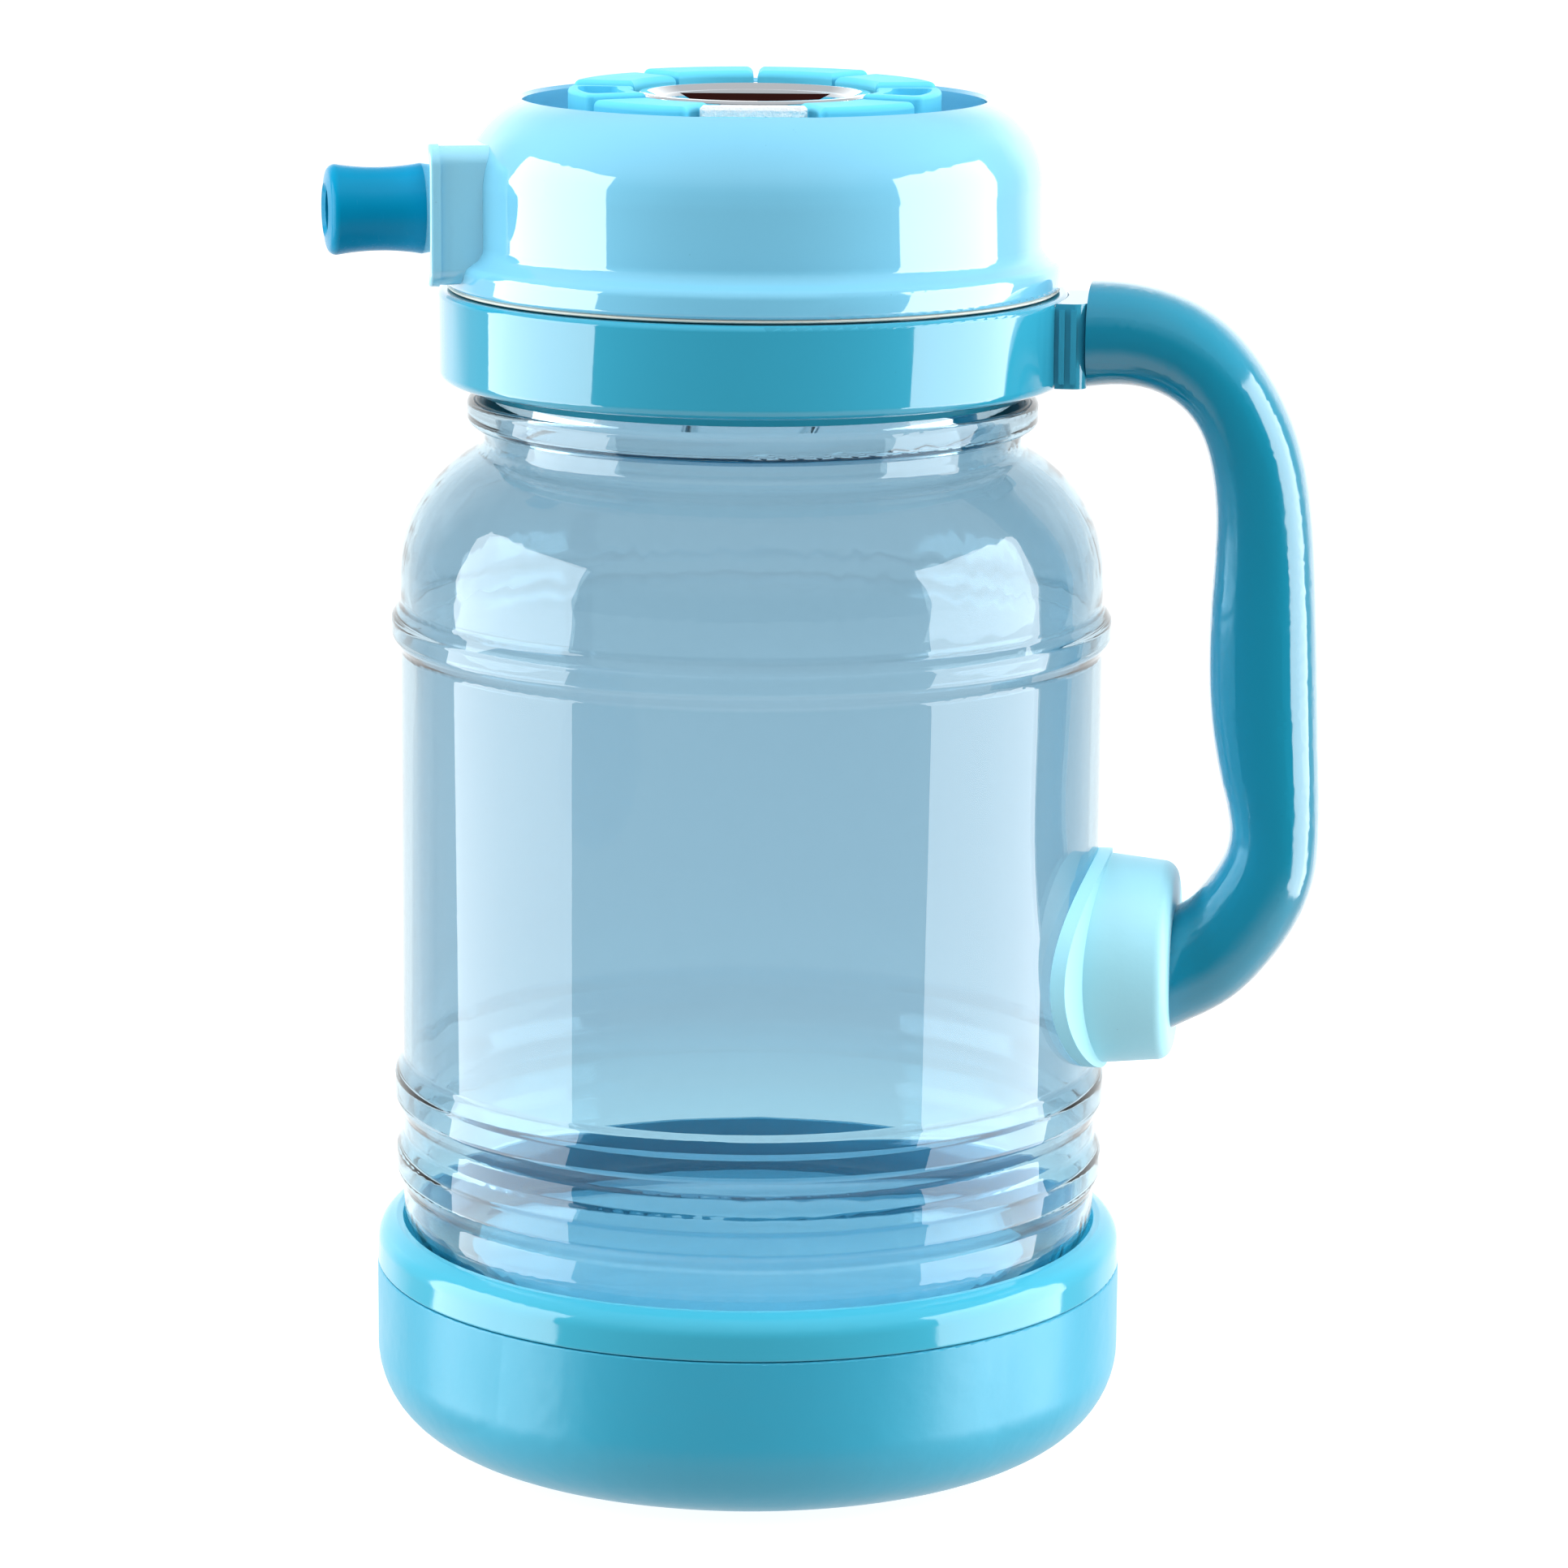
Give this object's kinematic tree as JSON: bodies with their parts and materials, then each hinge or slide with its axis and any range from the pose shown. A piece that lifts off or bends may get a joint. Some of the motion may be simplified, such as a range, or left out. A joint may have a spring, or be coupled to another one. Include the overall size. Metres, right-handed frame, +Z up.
{
  "type": "large water jug",
  "caption": "Large clear water jug with a base cup, side grip handle, screw-on domed lid, spout, lock ring and press button valve.",
  "frame": {"origin": "centre of the underside of the foot pad, on the jug's axis", "axes": "+Z up along the jug's axis, -X towards the spout and +X towards the handle, each turned a little towards -Y, the front"},
  "size_m": [0.2247, 0.172, 0.3122],
  "materials": {
    "clear_plastic": "clear blue-tinted, glossy",
    "base_plastic": "satin",
    "teal_gloss": "high gloss",
    "handle_gloss": "high gloss",
    "foot_boss_plastic": "satin",
    "lid_gloss": "high gloss",
    "petal_plastic": "gloss",
    "nozzle_plastic": "gloss",
    "chrome_plate": "mirror",
    "dark_window": "dark tinted, glossy",
    "frosted_silver": "frosted",
    "screw_steel": "plain",
    "seal_rubber": "matt, translucent white",
    "foot_rubber": "matt"
  },
  "bodies": {
    "jug": {"jug_body": "clear_plastic", "base_cup": "base_plastic", "base_trim_ring": "teal_gloss", "base_support_plate": "teal_gloss", "foot_pad": "foot_rubber", "neck_collar": "teal_gloss", "collar_bracket": "teal_gloss", "handle_front_shell": "handle_gloss", "handle_rear_shell": "handle_gloss", "handle_screws": "screw_steel", "handle_foot": "foot_boss_plastic", "handle_saddle": "foot_boss_plastic"},
    "gasket": {"lid_gasket": "seal_rubber"},
    "lid": {"lid_dome": "lid_gloss", "lid_liner": "lid_gloss", "lid_recess_seat": "lid_gloss", "valve_chamber": "lid_gloss", "spout_housing": "lid_gloss", "spout_bezel": "lid_gloss", "spout_tube": "nozzle_plastic", "spout_nozzle": "nozzle_plastic"},
    "lock": {"lock_ring": "petal_plastic", "front_bar": "frosted_silver"},
    "button": {"button_dish": "chrome_plate", "button_window": "dark_window", "valve_stem": "nozzle_plastic", "valve_plug": "nozzle_plastic", "valve_seal": "seal_rubber", "button_spring": "screw_steel"}
  },
  "joints": [
    {"name": "lid_rise", "type": "slide", "parent": "jug", "child": "gasket", "axis": [0, 0, 1], "range_m": [0, 0.0046]},
    {"name": "lid_turn", "type": "hinge", "parent": "gasket", "child": "lid", "pos_m": [0, 0, 0.2646], "axis": [0, 0, 1], "range_deg": [0, 270]},
    {"name": "lock_turn", "type": "hinge", "parent": "lid", "child": "lock", "pos_m": [0, 0, 0.303], "axis": [0, 0, 1], "range_deg": [0, 40]},
    {"name": "button_press", "type": "slide", "parent": "lid", "child": "button", "axis": [0, 0, -1], "range_m": [0, 0.0035], "stiffness_N_per_m": 400, "springref_m": -0.004, "deforming": ["button_spring"]}
  ],
  "couplings": [
    {"joint": "lid_rise", "follows": "lid_turn", "m_per_rad": 0.00095493}
  ]
}
